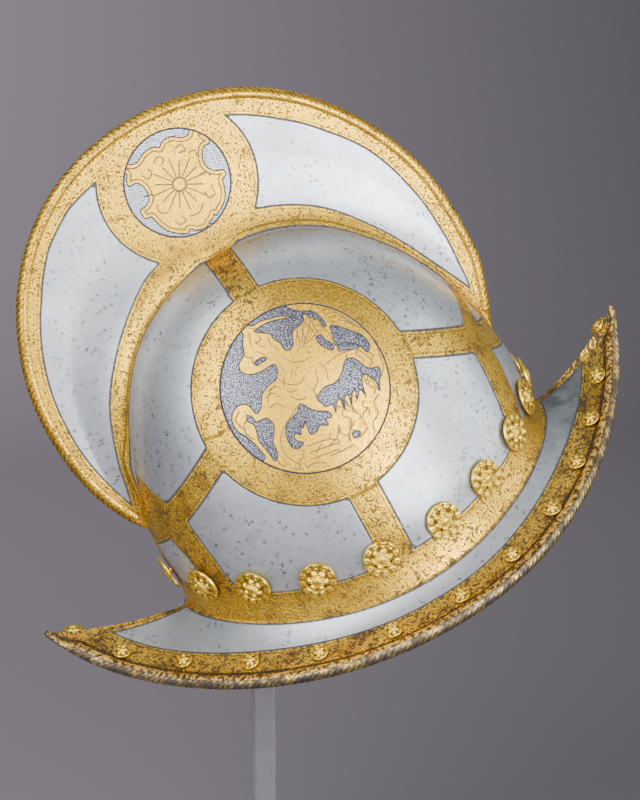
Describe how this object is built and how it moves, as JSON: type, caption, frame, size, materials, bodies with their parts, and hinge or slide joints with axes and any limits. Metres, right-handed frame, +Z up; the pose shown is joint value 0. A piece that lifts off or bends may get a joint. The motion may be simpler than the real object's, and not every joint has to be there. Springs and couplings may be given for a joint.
{
  "type": "comb morion helmet on display stand",
  "caption": "Crested comb morion with a tall comb, an upswept boat-shaped brim and rosette rivets, leant back on a clear post with a base plate.",
  "frame": {"origin": "centre of the underside of the stand's base plate", "axes": "+Z up along the post; +X towards the raised front peak; +Y to the helmet wearer's left, so the picture's camera looks along +Y at the wearer's right side"},
  "size_m": [0.3354, 0.2334, 0.4707],
  "materials": {
    "etched_steel": "etched and gilt bands on pale worn steel",
    "gilt_brass": "cast relief, worn gilding",
    "clear_acrylic": "clear, polished"
  },
  "bodies": {
    "root": {"helmet_shell": "etched_steel", "rosette_01": "gilt_brass", "rosette_02": "gilt_brass", "rosette_03": "gilt_brass", "rosette_04": "gilt_brass", "rosette_05": "gilt_brass", "rosette_06": "gilt_brass", "rosette_07": "gilt_brass", "rosette_08": "gilt_brass", "rosette_09": "gilt_brass", "rosette_10": "gilt_brass", "rosette_11": "gilt_brass", "rosette_12": "gilt_brass", "rosette_13": "gilt_brass", "rosette_14": "gilt_brass", "rosette_15": "gilt_brass", "rosette_16": "gilt_brass", "rosette_17": "gilt_brass", "rosette_18": "gilt_brass", "rosette_19": "gilt_brass", "brim_rivet_01": "gilt_brass", "brim_rivet_02": "gilt_brass", "brim_rivet_03": "gilt_brass", "brim_rivet_04": "gilt_brass", "brim_rivet_05": "gilt_brass", "brim_rivet_06": "gilt_brass", "brim_rivet_07": "gilt_brass", "brim_rivet_08": "gilt_brass", "brim_rivet_09": "gilt_brass", "brim_rivet_10": "gilt_brass", "brim_rivet_11": "gilt_brass", "brim_rivet_12": "gilt_brass", "brim_rivet_13": "gilt_brass", "brim_rivet_14": "gilt_brass", "brim_rivet_15": "gilt_brass", "brim_rivet_16": "gilt_brass", "brim_rivet_17": "gilt_brass", "brim_rivet_18": "gilt_brass", "brim_rivet_19": "gilt_brass", "brim_rivet_20": "gilt_brass", "brim_rivet_21": "gilt_brass", "brim_rivet_22": "gilt_brass", "brim_rivet_23": "gilt_brass", "brim_rivet_24": "gilt_brass", "stand_base": "clear_acrylic", "stand_post": "clear_acrylic", "stand_pad": "clear_acrylic"}
  },
  "joints": []
}
